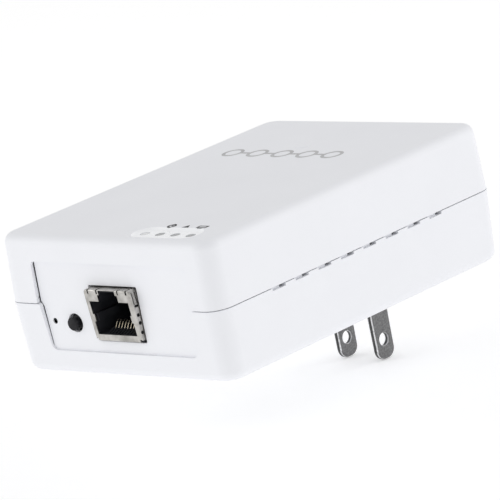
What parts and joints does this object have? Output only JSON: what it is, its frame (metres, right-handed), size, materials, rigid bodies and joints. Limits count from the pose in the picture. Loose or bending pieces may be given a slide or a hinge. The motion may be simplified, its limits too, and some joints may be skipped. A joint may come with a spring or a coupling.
{
  "type": "powerline network adapter",
  "caption": "White wall-plug box with flat blades, a shielded network socket, a push button, a pin-hole reset and small status lights.",
  "frame": {"origin": "centre of the pedestal face that meets the wall outlet, midway between the two blades", "axes": "+Z away from the wall through the face with the status lights, -Y towards the network socket, blades along -Z"},
  "size_m": [0.073, 0.1013, 0.057],
  "materials": {
    "housing_plastic": "fine moulded satin",
    "clear_plastic": "clear moulded",
    "black_plastic": "moulded",
    "blade_nickel": "nickel plated, drawn along the blade",
    "shield_metal": "tin plated sheet",
    "contact_gold": "gold plated wire",
    "screw_zinc": "zinc plated",
    "board_laminate": "solder mask on glass laminate",
    "epoxy_coat": "dipped coat",
    "film_case": "moulded case",
    "ferrite": "sintered",
    "copper_wire": "enamelled",
    "winding_tape": "polyester tape",
    "sink_aluminium": "extruded",
    "silicone_pad": "soft pad",
    "label_paper": "blank film label",
    "white_sleeve": "extruded sleeve"
  },
  "bodies": {
    "adapter": {"top_cover": "housing_plastic", "bottom_cover": "housing_plastic", "port_panel": "housing_plastic", "light_guide": "clear_plastic", "status_led_1": "clear_plastic", "status_led_2": "clear_plastic", "status_led_3": "clear_plastic", "status_led_4": "clear_plastic", "jack_housing": "black_plastic", "pair_switch_case": "black_plastic", "reset_switch_case": "black_plastic", "blade_carrier": "black_plastic", "fuse": "black_plastic", "bridge_rectifier": "black_plastic", "bulk_capacitor": "black_plastic", "transformer_base": "black_plastic", "optocoupler": "black_plastic", "supply_chip": "black_plastic", "output_capacitor": "black_plastic", "powerline_chip": "black_plastic", "memory_chip": "black_plastic", "ethernet_magnetics": "black_plastic", "ethernet_chip": "black_plastic", "line_wire": "black_plastic", "blade_left": "blade_nickel", "blade_right": "blade_nickel", "jack_shield": "shield_metal", "pair_switch_frame": "shield_metal", "jack_contact_1": "contact_gold", "jack_contact_2": "contact_gold", "jack_contact_3": "contact_gold", "jack_contact_4": "contact_gold", "jack_contact_5": "contact_gold", "jack_contact_6": "contact_gold", "jack_contact_7": "contact_gold", "jack_contact_8": "contact_gold", "cover_screw_1": "screw_zinc", "cover_screw_2": "screw_zinc", "cover_screw_3": "screw_zinc", "cover_screw_4": "screw_zinc", "carrier_screw_1": "screw_zinc", "carrier_screw_2": "screw_zinc", "main_board": "board_laminate", "varistor": "epoxy_coat", "y_capacitor": "epoxy_coat", "x_capacitor": "film_case", "coupling_capacitor": "film_case", "choke_core": "ferrite", "transformer_core": "ferrite", "coupling_transformer": "ferrite", "choke_winding_left": "copper_wire", "choke_winding_right": "copper_wire", "transformer_winding": "winding_tape", "heat_sink": "sink_aluminium", "crystal": "sink_aluminium", "thermal_pad": "silicone_pad", "rating_label": "label_paper", "neutral_wire": "white_sleeve"},
    "pair_plunger": {"pair_button": "black_plastic"},
    "reset_plunger": {"reset_button": "black_plastic"}
  },
  "joints": [
    {"name": "pair_button_press", "type": "slide", "parent": "adapter", "child": "pair_plunger", "axis": [0, 1, 0], "range_m": [0, 0.0003], "stiffness_N_per_m": 5000},
    {"name": "reset_button_press", "type": "slide", "parent": "adapter", "child": "reset_plunger", "axis": [0, 1, 0], "range_m": [0, 0.0003], "stiffness_N_per_m": 5000}
  ]
}
